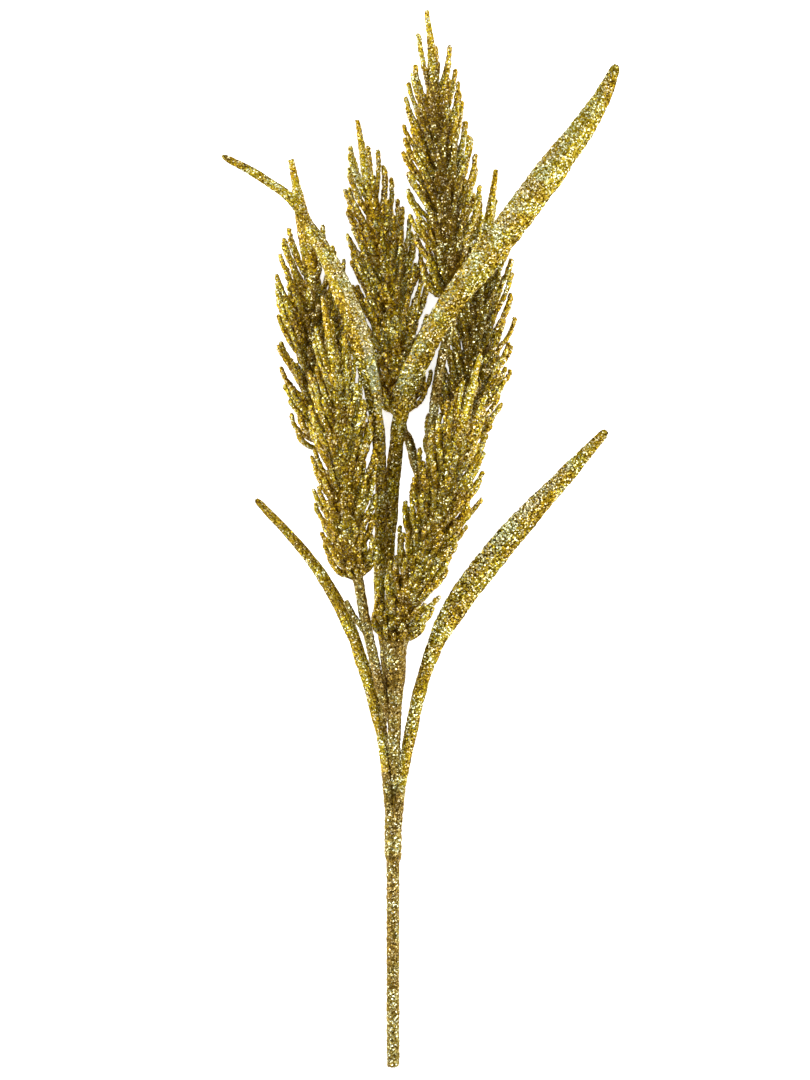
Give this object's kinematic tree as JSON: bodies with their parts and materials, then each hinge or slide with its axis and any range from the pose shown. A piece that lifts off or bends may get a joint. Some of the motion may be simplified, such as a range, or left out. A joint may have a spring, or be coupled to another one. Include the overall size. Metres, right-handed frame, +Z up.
{
  "type": "artificial wheat spray",
  "caption": "Artificial wheat spray in gold glitter: a branching stem with bearded wheat ears and folded strap leaves, lying on its side.",
  "frame": {"origin": "under the middle of the spray's outline, on the surface that it lies on", "axes": "+Y along the stem from its cut end towards the ears, +Z up from the surface, +X to the right as seen from above with the ears pointing away"},
  "size_m": [0.1418, 0.3812, 0.0483],
  "materials": {
    "gold_glitter_stem": "gold glitter flakes glued over a moulded plastic stem",
    "gold_glitter_ears": "gold glitter flakes glued over moulded plastic awns",
    "gold_glitter_leaves": "gold glitter flakes glued over folded plastic strap leaves"
  },
  "bodies": {
    "root": {"stem": "gold_glitter_stem", "ear_top": "gold_glitter_ears", "ear_middle": "gold_glitter_ears", "ear_left_back": "gold_glitter_ears", "ear_left_front": "gold_glitter_ears", "ear_right_back": "gold_glitter_ears", "ear_right_front": "gold_glitter_ears", "leaf_top_right": "gold_glitter_leaves", "leaf_top_left": "gold_glitter_leaves", "leaf_low_right": "gold_glitter_leaves", "leaf_low_left": "gold_glitter_leaves"}
  },
  "joints": []
}
